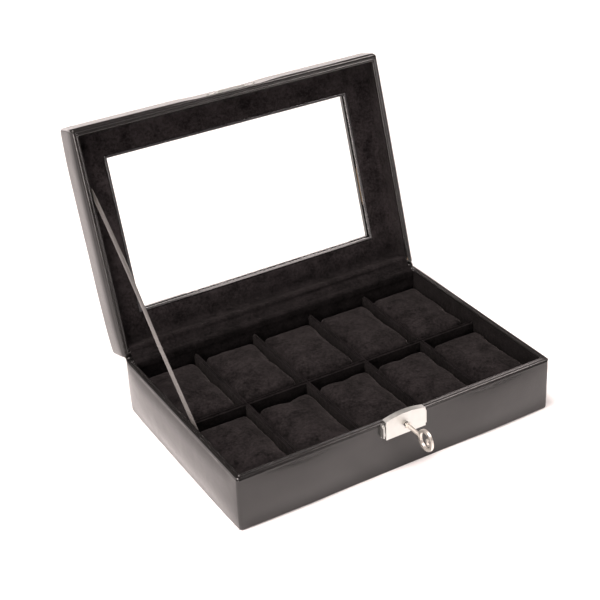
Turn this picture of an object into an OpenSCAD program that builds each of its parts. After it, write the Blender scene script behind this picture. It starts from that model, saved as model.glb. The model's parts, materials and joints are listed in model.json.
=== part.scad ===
// Watch box: leather-covered case with a glazed lid, ten pillow compartments, a ribbon stay and a key lock.
// Origin: middle of the underside. +Z up, the lock faces -Y, +X to the right. Millimetres.

/* [Case] */
// Width of base and lid
box_w = 325; // [300:1:350]
// Depth of the base
box_d = 218; // [205:1:230]
// Height of the base
base_h = 54; // [52:0.5:60]
// Depth of the lid
lid_d = 216.5; // [204:0.5:228]
// Height of the lid
lid_h = 29; // [28:0.5:34]
// Gap between the rims when shut
lid_gap = 0.3; // [0.2:0.1:0.6]
// Rounding of the upright edges
corner_r = 3; // [2:0.5:4]
// Rounding of the base's rim
rim_r = 2.5; // [1:0.5:3]
// Rounding of the lid's padded top edge
lid_top_r = 2.5; // [2:0.5:6]

/* [Walls] */
// Thickness of the leather
skin_t = 1.2; // [1:0.1:1.5]
// Thickness of the left and right boards
side_board_t = 4; // [4:0.5:6]
// Thickness of the front board
front_board_t = 4.4; // [4.4:0.2:8]
// Thickness of the back board
back_board_t = 6.4; // [5:0.2:8]
// Thickness of the lid's left and right boards
lid_side_t = 3.6; // [3.4:0.2:6]
// Thickness of the lid's front and back boards
lid_board_t = 4.8; // [4.8:0.2:8]
// Thickness of the velour linings
liner_t = 1; // [0.8:0.1:1.5]
// Depth of leather folded in over the rims
return_h = 2; // [1.5:0.5:3]
// Thickness of the bottom cover
cover_t = 0.8; // [0.5:0.1:1.5]
// Thickness of the bottom panel
panel_t = 3; // [2.5:0.5:4]
// Thickness of the floor lining
floor_t = 0.8; // [0.5:0.1:1.5]

/* [Tray] */
// Compartments side by side
columns = 5; // [5:1:5]
// Thickness of a divider
divider_t = 4; // [3:0.5:5]
// Height of the divider tops above the underside
divider_top = 43.5; // [40:0.5:48]
// Depth of a pillow, front to back
pillow_d = 86; // [80:1:90]
// Height of a pillow at its crown
pillow_h = 36; // [30:1:38]
// How far a pillow's crown stands above its edges
pillow_crown = 8; // [4:1:10]
// Gap between a pillow and the dividers beside it
pillow_gap = 0.8; // [0.5:0.1:1.5]

/* [Window] */
// Width of the window
window_w = 258; // [240:1:265]
// Height of the window
window_d = 147; // [135:1:155]
// Depth from the lid's rim to the velour panel
panel_depth = 20; // [19:0.5:22]
// Thickness of the velour panel
lining_t = 1.5; // [1:0.5:2]
// Thickness of the pane
glass_t = 2; // [2:0.5:3]
// Width of pane held behind the window's edge
glass_lap = 8; // [5:1:9]
// Thickness of the foam under the leather
foam_t = 1.3; // [1:0.1:2]
// Width of the trim round the window
trim_w = 2.4; // [1.5:0.1:3]

/* [Hinge] */
// Opening angle at rest, held by the ribbon
lid_open = 107; // [95:1:110]
// Distance of the hinge line behind the base and above its rim
hinge_off = 1.2; // [1:0.1:1.5]
// Depth left free at the lid's back rim for the folded hinge flap
flap_room = 2.4; // [2:0.1:3]
// Thickness of the velour hinge flap
flap_t = 0.9; // [0.6:0.1:1.1]
// Width of the leather strip outside
strip_w = 318; // [290:1:319]
// Width of the velour hinge flap
flap_w = 311; // [290:1:311]
// Width of the ribbon
ribbon_w = 10; // [8:1:12]
// Thickness of the ribbon
ribbon_t = 0.4; // [0.3:0.1:0.5]

/* [Lock] */
// Width of the rocking cover
latch_w = 41; // [38:1:42]
// Lowest edge of the cover above the underside
latch_low = 39.5; // [39:0.5:41]
// Height of the cover's top edge at its ends
latch_end_top = 58; // [57.5:0.5:58.5]
// How far the cover's top edge arches up
latch_arch = 3; // [2.5:0.5:3.5]
// Distance of the cover's face from the leather
latch_face = 6; // [6:0.5:6.5]
// Thickness of the cover's metal
latch_t = 1; // [0.8:0.1:1]
// Height of the key's axis
key_z = 49; // [48.5:0.5:49]
// Radius of the key's shank
shank_r = 1.8; // [1.6:0.1:1.9]
// Outer radius of the key's bow
bow_r = 10; // [9:0.5:11]

/* [Hidden] */
$fn = 64;

leather = [0.10, 0.10, 0.10];
velour = [0.07, 0.06, 0.06];
board = [0.55, 0.42, 0.28];
nickel = [0.80, 0.79, 0.76];

// room that a cut goes past the solid it cuts
over = 1;

// base, from outside in
face_x = box_w / 2;
face_y = box_d / 2;
core_x = face_x - skin_t;
core_y = face_y - skin_t;
board_in_x = core_x - side_board_t;
board_front = -core_y + front_board_t;
board_back = core_y - back_board_t;
in_x = board_in_x - liner_t;
in_front = board_front + liner_t;
in_back = board_back - liner_t;
board_top = base_h - skin_t;
liner_top = base_h - return_h;
floor_z = cover_t + panel_t;
tray_floor = floor_z + floor_t;
cover_inset = 1.5;

// dividers and pillows
tray_w = 2 * in_x;
tray_d = in_back - in_front;
tray_mid = (in_back + in_front) / 2;
cell_w = (tray_w - (columns - 1) * divider_t) / columns;
cell_d = (tray_d - divider_t) / 2;
pitch_x = cell_w + divider_t;
divider_mid_z = (tray_floor + divider_top) / 2;
slot_play = 0.1;
pillow_w = cell_w - 2 * pillow_gap;

// hinge line and the shut lid
hinge_y = face_y + hinge_off;
hinge_z = base_h + hinge_off;
lid_z = base_h + lid_gap;
lid_back = face_y;
lid_front = lid_back - lid_d;
lid_mid = (lid_back + lid_front) / 2;
lid_core_front = lid_front + skin_t;
lid_core_back = lid_back - skin_t;
lid_board_in_x = core_x - lid_side_t;
lid_in_x = lid_board_in_x - liner_t;
lid_in_front = lid_core_front + lid_board_t + liner_t;
lid_in_back = lid_core_back - lid_board_t - liner_t;
glass_z = lid_z + panel_depth + lining_t;
top_board_z = glass_z;
top_board_end = lid_z + lid_h - skin_t - foam_t;
foam_inset = 4;
trim_proud = 0.8;
glass_play = 0.2;

// hinge strips
strip_low = 26;
strip_play = 0.05;
fold_r = 0.8;
flap_bend = 3.5;

// ribbon, as points in the base's and the shut lid's coordinates
ribbon_low = [-in_x + 0.35, -25, 49];
ribbon_high = [-lid_in_x + 0.6, hinge_y - 160, lid_z + 5];

// lock, with "out" measured from the leather towards the front
plate_t = 1;
plate_low = 40;
plate_top = 53.6;
ear_in = latch_w / 2 + 0.7;
ear_t = 1.2;
ear_low = 41;
pivot_z = 52;
pivot_out = 2.8;
pin_r = 0.8;
pin_play = 0.07;
pin_head_r = 1.3;
hook_out = 0.2;
foot_w = 6;
foot_h = 1.5;
foot_out = 3.3;
keyhole_r = 2.5;
spindle_r = 3.8;
spindle_play = 0.05;
spindle_len = 4;
cam_out = 3;
cam_r = 4.6;
lobe_r = 9;
lobe_w = 5;
bit_reach = 2.9;
bit_t = 1;
key_play = 0.2;
body_w = 16;
body_low = 44;
body_top = 52.6;
body_depth = 5;
mortise_play = 0.2;
rivet_x = 14;
rivet_z = 43.5;
rivet_r = 1;
rivet_head_r = 1.8;
rivet_head_h = 0.8;
spring_x = -11.5;
spring_w = 6;
spring_t = 0.35;
collar_r = 2.8;
collar_out = 9;
bow_out = 35.5;
bow_rim = 2.8;
bow_t = 2.4;

// keeper on the lid's front
keeper_w = 50;
keeper_t = 0.8;
keeper_low = lid_z + 0.3;
keeper_h = 5.2;
keeper_bar_w = 29.4;
keeper_bar_h = 3.3;
keeper_bar_out = 1.2;
keeper_rivet_x = 17.5;
keeper_rivet_r = 0.9;
keeper_rivet_z = lid_z + 1.9;
keeper_rivet_len = 4.5;
keeper_rivet_play = 0.3;
lid_face_out = -face_y - lid_front;

// ---- helpers ----

// where a point of the shut lid's section (y, z) goes when the lid stands open
function opened(y, z) = [
    hinge_y + (y - hinge_y) * cos(lid_open) + (z - hinge_z) * sin(lid_open),
    hinge_z - (y - hinge_y) * sin(lid_open) + (z - hinge_z) * cos(lid_open)];

// places what is drawn in the shut lid's coordinates
module on_lid() {
    translate([0, hinge_y, hinge_z]) rotate([-lid_open, 0, 0]) translate([0, -hinge_y, -hinge_z]) children();
}

// box given by its lowest and highest corners
module span(low, high) {
    translate(low) cube(high - low);
}

// rectangle with four round corners, centred
module round_rect(w, d, r) {
    square([w - 2 * r, d], center = true);
    square([w, d - 2 * r], center = true);
    for (sx = [-1, 1], sy = [-1, 1])
        translate([sx * (w / 2 - r), sy * (d / 2 - r)]) circle(r);
}

// upright outline of a wall-sized block with rounded top corners
module round_top(w, h, r) {
    translate([-w / 2, 0]) square([w, h - r]);
    translate([-w / 2 + r, 0]) square([w - 2 * r, h]);
    for (sx = [-1, 1]) translate([sx * (w / 2 - r), h - r]) circle(r);
}

// block with rounded upright edges and rounded top edges, standing on z = 0
module soft_block(w, d, h, top_r) {
    intersection() {
        linear_extrude(h) round_rect(w, d, corner_r);
        rotate([90, 0, 0]) translate([0, 0, -d]) linear_extrude(2 * d) round_top(w, h, top_r);
        rotate([90, 0, 90]) translate([0, 0, -w]) linear_extrude(2 * w) round_top(d, h, top_r);
    }
}

// extrudes a (y, z) section along x, centred
module along_x(length, mid = 0) {
    translate([mid - length / 2, 0, 0]) rotate([90, 0, 90]) linear_extrude(length) children();
}

// unit vector across a run between two points
function across(a, b) = [a[1] - b[1], b[0] - a[0]] / norm(b - a);

// where the side of a band lies beside point i: "offset" across its runs, mitred at the bends
function beside(points, i, offset) =
    let (last = len(points) - 1,
        before = across(points[max(i - 1, 0)], points[max(i, 1)]),
        after = across(points[min(i, last - 1)], points[min(i + 1, last)]))
    points[i] + offset * (before + after) / (1 + before * after);

// band of thickness t that follows the points of a section
module band(points, t) {
    last = len(points) - 1;
    polygon(concat([for (i = [0 : last]) beside(points, i, t / 2)],
        [for (i = [last : -1 : 0]) beside(points, i, -t / 2)]));
}

// cylinder on a line along -Y: starts "from" and ends "to", both measured out from the base's front
module rod_out(r, from, to, x, z) {
    translate([x, -face_y - from, z]) rotate([90, 0, 0]) cylinder(r = r, h = to - from);
}

// flat piece parallel to the front: its (x, z) outline, between two distances out from the front
module slab_out(from, to) {
    translate([0, -face_y - from, 0]) rotate([90, 0, 0]) linear_extrude(to - from) children();
}

// ---- base ----

module bottom_cover() {
    color([0.09, 0.09, 0.09])
    linear_extrude(cover_t) round_rect(box_w - 2 * cover_inset, box_d - 2 * cover_inset, corner_r);
}

module bottom_panel() {
    color(board) span([-core_x, -core_y, cover_t], [core_x, core_y, floor_z]);
}

module base_side_board(side) {
    x = side > 0 ? board_in_x : -core_x;
    color(board) span([x, -core_y, floor_z], [x + side_board_t, core_y, board_top]);
}

module base_left_board() {
    base_side_board(-1);
}

module base_right_board() {
    base_side_board(1);
}

// room for the lock's body in the front wall, open at the top of the board
module lock_mortise() {
    half = body_w / 2 + mortise_play;
    depth = body_depth + mortise_play;
    span([-half, -face_y - over, body_low - mortise_play], [half, -face_y + depth, board_top]);
}

module base_front_board() {
    color(board) difference() {
        span([-board_in_x, -core_y, floor_z], [board_in_x, board_front, board_top]);
        lock_mortise();
        lock_rivet_pair(rivet_r);
    }
}

module base_back_board() {
    color(board) span([-board_in_x, board_back, floor_z], [board_in_x, core_y, board_top]);
}

module base_leather() {
    lip = 0.3;
    color(leather) difference() {
        soft_block(box_w, box_d, base_h, rim_r);
        // the underside stays open, a little above the bottom cover
        span([-box_w, -box_d, -over], [box_w, box_d, lip]);
        span([-core_x, -core_y, 0], [core_x, core_y, liner_top]);
        // boards stand up into the rim, inside its folded edge
        difference() {
            span([-core_x, -core_y, 0], [core_x, core_y, board_top]);
            span([-board_in_x, board_front, 0], [board_in_x, board_back, base_h]);
        }
        span([-in_x, in_front, 0], [in_x, in_back, base_h + over]);
        lock_mortise();
        lock_rivet_pair(rivet_r);
    }
}

module side_liner(side) {
    x = side > 0 ? in_x : -board_in_x;
    color(velour) span([x, board_front, floor_z], [x + liner_t, board_back, liner_top]);
}

module liner_left() {
    side_liner(-1);
}

module liner_right() {
    side_liner(1);
}

module liner_front() {
    color(velour) span([-in_x, board_front, floor_z], [in_x, in_front, liner_top]);
}

module liner_back() {
    color(velour) span([-in_x, in_back, floor_z], [in_x, board_back, liner_top]);
}

module floor_lining() {
    color(velour) span([-in_x, in_front, floor_z], [in_x, in_back, tray_floor]);
}

// ---- tray ----

// middle of a cross divider, numbered from the left
function divider_x(i) = (i - columns / 2) * pitch_x;

module long_divider() {
    half = divider_t / 2;
    slot = half + slot_play;
    color(velour) difference() {
        span([-in_x, tray_mid - half, tray_floor], [in_x, tray_mid + half, divider_top]);
        for (i = [1 : columns - 1])
            translate([divider_x(i), tray_mid, divider_mid_z])
                span([-slot, -divider_t, 0], [slot, divider_t, divider_top]);
    }
}

module cross_divider(i) {
    half = divider_t / 2;
    slot = half + slot_play;
    color(velour) translate([divider_x(i), 0, 0]) difference() {
        span([-half, in_front, tray_floor], [half, in_back, divider_top]);
        span([-divider_t, tray_mid - slot, 0], [divider_t, tray_mid + slot, divider_mid_z]);
    }
}

module cross_divider_1() {
    cross_divider(1);
}

module cross_divider_2() {
    cross_divider(2);
}

module cross_divider_3() {
    cross_divider(3);
}

module cross_divider_4() {
    cross_divider(4);
}

// cushion outline: flat base and sides, and a top that arches up to the crown
module cushion_outline(w, rise) {
    r = (w * w / 4 + rise * rise) / (2 * rise);
    intersection() {
        translate([-w / 2, 0]) square([w, pillow_h]);
        translate([0, pillow_h - r]) circle(r, $fn = 180);
    }
}

// pillows 1 to 5 lie at the front from the left, 6 to 10 at the back
module pillow(n) {
    column = (n - 1) % columns;
    row = floor((n - 1) / columns);
    x = (column - (columns - 1) / 2) * pitch_x;
    y = tray_mid + (row - 0.5) * (cell_d + divider_t);
    color([0.08, 0.07, 0.07]) translate([x, y, tray_floor]) intersection() {
        along_x(pillow_w) cushion_outline(pillow_d, pillow_crown);
        rotate([90, 0, 0]) translate([0, 0, -pillow_d / 2]) linear_extrude(pillow_d)
            cushion_outline(pillow_w, pillow_crown);
    }
}

module pillow_1() {
    pillow(1);
}

module pillow_2() {
    pillow(2);
}

module pillow_3() {
    pillow(3);
}

module pillow_4() {
    pillow(4);
}

module pillow_5() {
    pillow(5);
}

module pillow_6() {
    pillow(6);
}

module pillow_7() {
    pillow(7);
}

module pillow_8() {
    pillow(8);
}

module pillow_9() {
    pillow(9);
}

module pillow_10() {
    pillow(10);
}

// ---- hinge and ribbon ----

// outer strip: up the base's back, folded on the hinge line, along the lid's back
module hinge_leather() {
    mid = face_y + hinge_off / 2;
    lid_side = mid + strip_play;
    color(leather) union() {
        along_x(strip_w) band([[mid, strip_low], [mid, base_h - 0.4], [hinge_y, hinge_z],
            opened(lid_side, lid_z + flap_room + 0.6), opened(lid_side, lid_z + lid_h - 3)], hinge_off);
        along_x(strip_w) translate([hinge_y, hinge_z]) circle(fold_r);
    }
}

// inner flap: over the base's back rim and up the lid's back rim, which is set back to make room for it
module hinge_velour() {
    rim_mid = base_h + flap_t / 2;
    lid_rim = lid_z + flap_room - flap_t / 2;
    color(velour) along_x(flap_w) band([[in_back, rim_mid], [face_y - flap_bend, rim_mid],
        opened(lid_back - 1.5, lid_rim), opened(lid_in_back, lid_rim)], flap_t);
}

// flat ribbon between its two seams, its faces towards the sides
module lid_ribbon() {
    end = opened(ribbon_high[1], ribbon_high[2]);
    run = [ribbon_high[0], end[0], end[1]] - ribbon_low;
    rise = norm([run[1], run[2]]);
    color([0.18, 0.17, 0.16])
    translate(ribbon_low)
    rotate([atan2(run[2], run[1]), 0, 0])
    rotate([0, 0, -atan2(run[0], rise)])
    translate([-ribbon_t / 2, 0, -ribbon_w / 2])
    cube([ribbon_t, norm(run), ribbon_w]);
}

// ---- lock ----

module lock_rivet_pair(r) {
    for (sx = [-1, 1]) rod_out(r, 1 - front_board_t, plate_t + over, sx * rivet_x, rivet_z);
}

module lock_rivets() {
    color(nickel) for (sx = [-1, 1]) {
        rod_out(rivet_r, 1.5 - front_board_t, plate_t, sx * rivet_x, rivet_z);
        rod_out(rivet_head_r, plate_t, plate_t + rivet_head_h, sx * rivet_x, rivet_z);
    }
}

module lock_plate() {
    half = ear_in + ear_t;
    color(nickel) difference() {
        union() {
            slab_out(0, plate_t) translate([-half, plate_low]) square([2 * half, plate_top - plate_low]);
            for (sx = [-1, 1]) along_x(ear_t, sx * (ear_in + ear_t / 2)) union() {
                translate([-face_y - pivot_out, pivot_z]) circle(1.9);
                translate([-face_y - pivot_out - 1.9, ear_low]) square([pivot_out + 1.9, pivot_z - ear_low]);
                translate([-face_y - pivot_out, ear_low]) square([pivot_out, pivot_z - ear_low + 1.9]);
            }
        }
        rod_out(spindle_r + 0.3, -over, plate_t + over, 0, key_z);
        lock_rivet_pair(rivet_r);
        pivot_bores(pin_r);
    }
}

module pivot_bores(r) {
    reach = ear_in + ear_t + over;
    along_x(2 * reach) translate([-face_y - pivot_out, pivot_z]) circle(r);
}

module pivot_pins() {
    inner = latch_w / 2 - latch_t - 0.3;
    outer = ear_in + ear_t;
    color(nickel) for (sx = [-1, 1]) {
        along_x(outer - inner, sx * (outer + inner) / 2) translate([-face_y - pivot_out, pivot_z]) circle(pin_r);
        along_x(0.7, sx * (outer + 0.35)) translate([-face_y - pivot_out, pivot_z]) circle(pin_head_r);
    }
}

module lock_body() {
    color(nickel) difference() {
        span([-body_w / 2, -face_y, body_low], [body_w / 2, -face_y + body_depth, body_top]);
        rod_out(spindle_r + spindle_play, -spindle_len - spindle_play, over, 0, key_z);
    }
}

// bit and slot outline: a bar that hangs down from the key's axis
module hanging_bar(w, reach) {
    translate([-w / 2, key_z - reach]) square([w, reach]);
}

module lock_cam() {
    color(nickel) difference() {
        union() {
            rod_out(spindle_r, -spindle_len, cam_out - 1, 0, key_z);
            rod_out(cam_r, plate_t + 0.2, cam_out, 0, key_z);
            slab_out(plate_t + 0.2, cam_out) intersection() {
                translate([0, key_z]) circle(lobe_r);
                translate([0, key_z - lobe_w / 2]) square([lobe_r + over, lobe_w]);
            }
        }
        rod_out(shank_r + key_play, -spindle_len + 0.4, cam_out + over, 0, key_z);
        slab_out(-spindle_len + 0.4, cam_out + over) hanging_bar(bit_t + 2 * key_play, bit_reach + key_play);
    }
}

// leaf spring: a foot on the plate and a blade that leans out to the cover
module latch_spring() {
    root = -face_y - plate_t - spring_t / 2;
    tip = -face_y - latch_face + latch_t + spring_t;
    color(nickel) along_x(spring_w, spring_x + spring_w / 2)
        band([[root, 51], [root, 47.5], [root - 1.4, 45], [tip, 41.5]], spring_t);
}

// cover's face: straight foot and ends, arched top
module cover_outline(trim) {
    arch_r = (latch_w * latch_w / 4 + latch_arch * latch_arch) / (2 * latch_arch);
    intersection() {
        translate([-latch_w / 2, latch_low]) square([latch_w, latch_end_top + latch_arch - latch_low]);
        translate([0, latch_end_top + latch_arch - arch_r]) circle(arch_r - trim, $fn = 180);
    }
}

module latch_cover() {
    back = latch_face - latch_t;
    color(nickel) difference() {
        union() {
            slab_out(back, latch_face) cover_outline(0);
            // hook: the arched edge turned back over the keeper
            slab_out(hook_out, back) intersection() {
                difference() {
                    cover_outline(0);
                    cover_outline(latch_t);
                }
                translate([-latch_w / 2, pivot_z + 4]) square([latch_w, base_h]);
            }
            // side tabs on the pins
            for (sx = [-1, 1]) along_x(latch_t, sx * (latch_w - latch_t) / 2) union() {
                translate([-face_y - pivot_out, pivot_z]) circle(1.5);
                translate([-face_y - back, pivot_z - 1.5]) square([back - pivot_out, 3]);
            }
            // foot turned back at the bottom edge
            slab_out(foot_out, back) translate([-foot_w / 2, latch_low]) square([foot_w, foot_h]);
        }
        rod_out(keyhole_r, back - over, latch_face + over, 0, key_z);
        slab_out(back - over, latch_face + over) hanging_bar(2 * bit_t, bit_reach + 1.1);
        pivot_bores(pin_r + pin_play);
    }
}

module key() {
    tip = 1 - spindle_len;
    color([0.72, 0.70, 0.66]) {
        rod_out(shank_r, tip, bow_out - bow_r + bow_rim / 2, 0, key_z);
        rod_out(collar_r, collar_out, collar_out + 1.2, 0, key_z);
        slab_out(tip + 0.4, tip + 3.4) hanging_bar(bit_t, bit_reach);
        // bow: a flat ring, and a small ring inside its far side
        along_x(bow_t) difference() {
            translate([-face_y - bow_out, key_z]) circle(bow_r);
            translate([-face_y - bow_out, key_z]) circle(bow_r - bow_rim);
        }
        along_x(bow_t * 0.7) difference() {
            translate([-face_y - bow_out - bow_r + bow_rim + 3, key_z]) circle(3.6);
            translate([-face_y - bow_out - bow_r + bow_rim + 3, key_z]) circle(2);
        }
    }
}

// ---- lid, drawn shut ----

// window-shaped block, "margin" larger on every side
module window_block(low, high, margin = 0) {
    half_w = window_w / 2 + margin;
    half_d = window_d / 2 + margin;
    span([-half_w, lid_mid - half_d, low], [half_w, lid_mid + half_d, high]);
}

module lid_side_board(side) {
    x = side > 0 ? lid_board_in_x : -core_x;
    color(board) on_lid()
        span([x, lid_core_front, lid_z + skin_t], [x + lid_side_t, lid_core_back, top_board_z]);
}

module lid_left_board() {
    lid_side_board(-1);
}

module lid_right_board() {
    lid_side_board(1);
}

module lid_front_board() {
    color(board) on_lid() difference() {
        span([-lid_board_in_x, lid_core_front, lid_z + skin_t],
            [lid_board_in_x, lid_core_front + lid_board_t, top_board_z]);
        keeper_rivet_holes();
    }
}

module lid_back_board() {
    color(board) on_lid()
        span([-lid_board_in_x, lid_core_back - lid_board_t, lid_z + flap_room + skin_t],
            [lid_board_in_x, lid_core_back, top_board_z]);
}

module lid_top_board() {
    color(board) on_lid() difference() {
        span([-core_x, lid_core_front, top_board_z], [core_x, lid_core_back, top_board_end]);
        window_block(top_board_z - over, top_board_end + over);
        // rebate for the pane
        window_block(top_board_z - over, glass_z + glass_t, glass_lap + glass_play);
    }
}

module lid_foam() {
    color([0.75, 0.73, 0.68]) on_lid() difference() {
        span([-core_x + foam_inset, lid_core_front + foam_inset, top_board_end],
            [core_x - foam_inset, lid_core_back - foam_inset, top_board_end + foam_t]);
        window_block(top_board_end - over, lid_z + lid_h);
    }
}

module lid_leather() {
    top = lid_z + lid_h - skin_t;
    inner = lid_z + return_h;
    color(leather) on_lid() difference() {
        translate([0, lid_mid, lid_z]) soft_block(box_w, lid_d, lid_h, lid_top_r);
        // boards and cavity, with the edges folded in over the rim
        span([-core_x, lid_core_front, inner], [core_x, lid_core_back, top_board_end]);
        span([-core_x + foam_inset, lid_core_front + foam_inset, inner],
            [core_x - foam_inset, lid_core_back - foam_inset, top]);
        difference() {
            span([-core_x, lid_core_front, lid_z + skin_t], [core_x, lid_core_back, top_board_end]);
            span([-lid_board_in_x, lid_core_front + lid_board_t, lid_z],
                [lid_board_in_x, lid_core_back - lid_board_t, top]);
        }
        span([-lid_in_x, lid_in_front, lid_z - over], [lid_in_x, lid_in_back, inner + over]);
        // back rim set back for the hinge flap
        span([-lid_board_in_x, lid_in_back - over, lid_z - over],
            [lid_board_in_x, lid_back + over, lid_z + flap_room]);
        window_block(lid_z, lid_z + lid_h + over);
        keeper_rivet_holes();
    }
}

module lid_glass() {
    color([0.85, 0.9, 0.9, 0.3]) on_lid() window_block(glass_z, glass_z + glass_t, glass_lap);
}

// glossy bead along the window's edge on the velour side
module window_trim() {
    low = lid_z + panel_depth - trim_proud;
    color([0.2, 0.2, 0.2]) on_lid() difference() {
        window_block(low, glass_z, trim_w);
        window_block(low - over, glass_z + over);
    }
}

module lid_panel_lining() {
    low = lid_z + panel_depth;
    color(velour) on_lid() difference() {
        span([-lid_board_in_x, lid_core_front + lid_board_t, low],
            [lid_board_in_x, lid_core_back - lid_board_t, glass_z]);
        window_block(low - over, glass_z + over, trim_w);
    }
}

module lid_side_liner(side) {
    x = side > 0 ? lid_in_x : -lid_board_in_x;
    color(velour) on_lid() span([x, lid_in_front - liner_t, lid_z + return_h],
        [x + liner_t, lid_in_back + liner_t, lid_z + panel_depth]);
}

module lid_liner_left() {
    lid_side_liner(-1);
}

module lid_liner_right() {
    lid_side_liner(1);
}

module lid_liner_front() {
    color(velour) on_lid() span([-lid_in_x, lid_in_front - liner_t, lid_z + return_h],
        [lid_in_x, lid_in_front, lid_z + panel_depth]);
}

module lid_liner_back() {
    color(velour) on_lid() span([-lid_in_x, lid_in_back, lid_z + flap_room + skin_t],
        [lid_in_x, lid_in_back + liner_t, lid_z + panel_depth]);
}

// ---- keeper on the lid's front edge ----

module keeper_rivet_holes() {
    for (sx = [-1, 1])
        rod_out(keeper_rivet_r, lid_face_out - keeper_rivet_len - keeper_rivet_play,
            lid_face_out + keeper_t + over, sx * keeper_rivet_x, keeper_rivet_z);
}

module keeper() {
    face = lid_face_out + keeper_t;
    color(nickel) on_lid() difference() {
        union() {
            slab_out(lid_face_out, face) translate([-keeper_w / 2, keeper_low]) square([keeper_w, keeper_h]);
            slab_out(face, keeper_bar_out)
                translate([-keeper_bar_w / 2, keeper_low]) square([keeper_bar_w, keeper_bar_h]);
            for (sx = [-1, 1]) slab_out(face, keeper_bar_out - 0.2)
                translate([sx * (keeper_w / 2 - 0.8) - 0.8, keeper_low]) square([1.6, keeper_bar_h - 0.5]);
        }
        keeper_rivet_holes();
    }
}

module keeper_rivets() {
    color(nickel) on_lid() {
        for (sx = [-1, 1]) {
            rod_out(keeper_rivet_r, lid_face_out - keeper_rivet_len, lid_face_out + keeper_t,
                sx * keeper_rivet_x, keeper_rivet_z);
            rod_out(1.3, lid_face_out + keeper_t, lid_face_out + keeper_t + 0.7,
                sx * keeper_rivet_x, keeper_rivet_z);
        }
    }
}

bottom_cover();
bottom_panel();
base_front_board();
base_back_board();
base_left_board();
base_right_board();
base_leather();
liner_front();
liner_back();
liner_left();
liner_right();
floor_lining();
long_divider();
cross_divider_1();
cross_divider_2();
cross_divider_3();
cross_divider_4();
pillow_1();
pillow_2();
pillow_3();
pillow_4();
pillow_5();
pillow_6();
pillow_7();
pillow_8();
pillow_9();
pillow_10();
hinge_leather();
hinge_velour();
lid_ribbon();
lock_plate();
lock_body();
lock_rivets();
pivot_pins();
latch_spring();
latch_cover();
lock_cam();
key();
lid_front_board();
lid_back_board();
lid_left_board();
lid_right_board();
lid_top_board();
lid_foam();
lid_leather();
lid_glass();
window_trim();
lid_panel_lining();
lid_liner_front();
lid_liner_back();
lid_liner_left();
lid_liner_right();
keeper();
keeper_rivets();
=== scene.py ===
"""Watch box: the looks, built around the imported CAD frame. Metres, Z up, the lock faces -Y."""

import json
import math
import random

import bmesh
import bpy
import numpy as np
from mathutils import Matrix, Vector, noise

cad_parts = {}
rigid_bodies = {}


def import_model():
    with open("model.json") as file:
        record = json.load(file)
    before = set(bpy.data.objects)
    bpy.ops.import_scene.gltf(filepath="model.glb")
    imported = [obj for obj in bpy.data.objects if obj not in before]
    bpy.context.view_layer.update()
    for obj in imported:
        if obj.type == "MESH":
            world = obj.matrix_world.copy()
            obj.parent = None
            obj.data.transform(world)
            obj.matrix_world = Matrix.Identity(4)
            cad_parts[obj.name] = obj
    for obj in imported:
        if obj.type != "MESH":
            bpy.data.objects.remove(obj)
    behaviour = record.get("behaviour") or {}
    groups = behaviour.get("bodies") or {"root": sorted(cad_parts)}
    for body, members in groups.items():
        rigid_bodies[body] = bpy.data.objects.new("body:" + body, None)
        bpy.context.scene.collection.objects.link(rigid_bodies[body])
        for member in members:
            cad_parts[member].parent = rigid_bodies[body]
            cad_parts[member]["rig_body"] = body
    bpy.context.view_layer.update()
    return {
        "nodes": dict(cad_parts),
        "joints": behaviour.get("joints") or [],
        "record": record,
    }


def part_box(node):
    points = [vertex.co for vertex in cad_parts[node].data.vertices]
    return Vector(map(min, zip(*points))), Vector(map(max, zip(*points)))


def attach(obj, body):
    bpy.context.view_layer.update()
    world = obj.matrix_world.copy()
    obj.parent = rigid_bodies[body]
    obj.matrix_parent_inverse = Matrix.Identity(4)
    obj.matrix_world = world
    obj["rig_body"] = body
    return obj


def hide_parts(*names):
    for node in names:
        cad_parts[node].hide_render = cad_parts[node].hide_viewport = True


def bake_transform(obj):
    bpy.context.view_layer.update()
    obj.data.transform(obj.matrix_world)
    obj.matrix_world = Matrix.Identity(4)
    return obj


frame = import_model()
MM = 0.001

# ---------------------------------------------------------------- places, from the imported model

hinge = next(j for j in frame["joints"] if j["name"] == "lid_hinge")
HINGE = Vector(hinge["pos_m"])
OPENING = math.radians(-hinge["range_deg"][0])
TO_OPEN = (Matrix.Translation(HINGE) @ Matrix.Rotation(OPENING, 4, Vector(hinge["axis"]))
           @ Matrix.Translation(-HINGE))
TO_SHUT = TO_OPEN.inverted()


def linked(name, data):
    """A new object in the scene."""
    piece = bpy.data.objects.new(name, data)
    bpy.context.scene.collection.objects.link(piece)
    return piece


def shut_box(node):
    """Lowest and highest corner of a lid node with the lid shut."""
    corners = np.array([TO_SHUT @ v.co for v in frame["nodes"][node].data.vertices])
    return Vector(corners.min(0)), Vector(corners.max(0))


# ---------------------------------------------------------------- camera

CAMERA_PLACE = Vector((-0.5565, -0.9321, 0.7445))
CAMERA_ANGLES = (-29.26, 29.95, -2.79)  # azimuth, elevation and roll in degrees
LENS_MM, SENSOR_MM = 83.6, 36


def add_camera():
    """The photograph's viewing angle: seen from the front left and above, slightly rolled."""
    azimuth, elevation, roll = map(math.radians, CAMERA_ANGLES)
    back = Vector((math.sin(azimuth) * math.cos(elevation), -math.cos(azimuth) * math.cos(elevation),
                   math.sin(elevation)))
    level = Vector((0, 0, 1)).cross(back).normalized()
    upright = back.cross(level)
    right = math.cos(roll) * level + math.sin(roll) * upright
    up = math.cos(roll) * upright - math.sin(roll) * level
    data = bpy.data.cameras.new("camera")
    data.lens, data.sensor_width = LENS_MM, SENSOR_MM
    data.clip_end = 20
    camera = linked("camera", data)
    camera.matrix_world = Matrix.Translation(CAMERA_PLACE) @ Matrix((right, up, back)).transposed().to_4x4()
    bpy.context.scene.camera = camera


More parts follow.
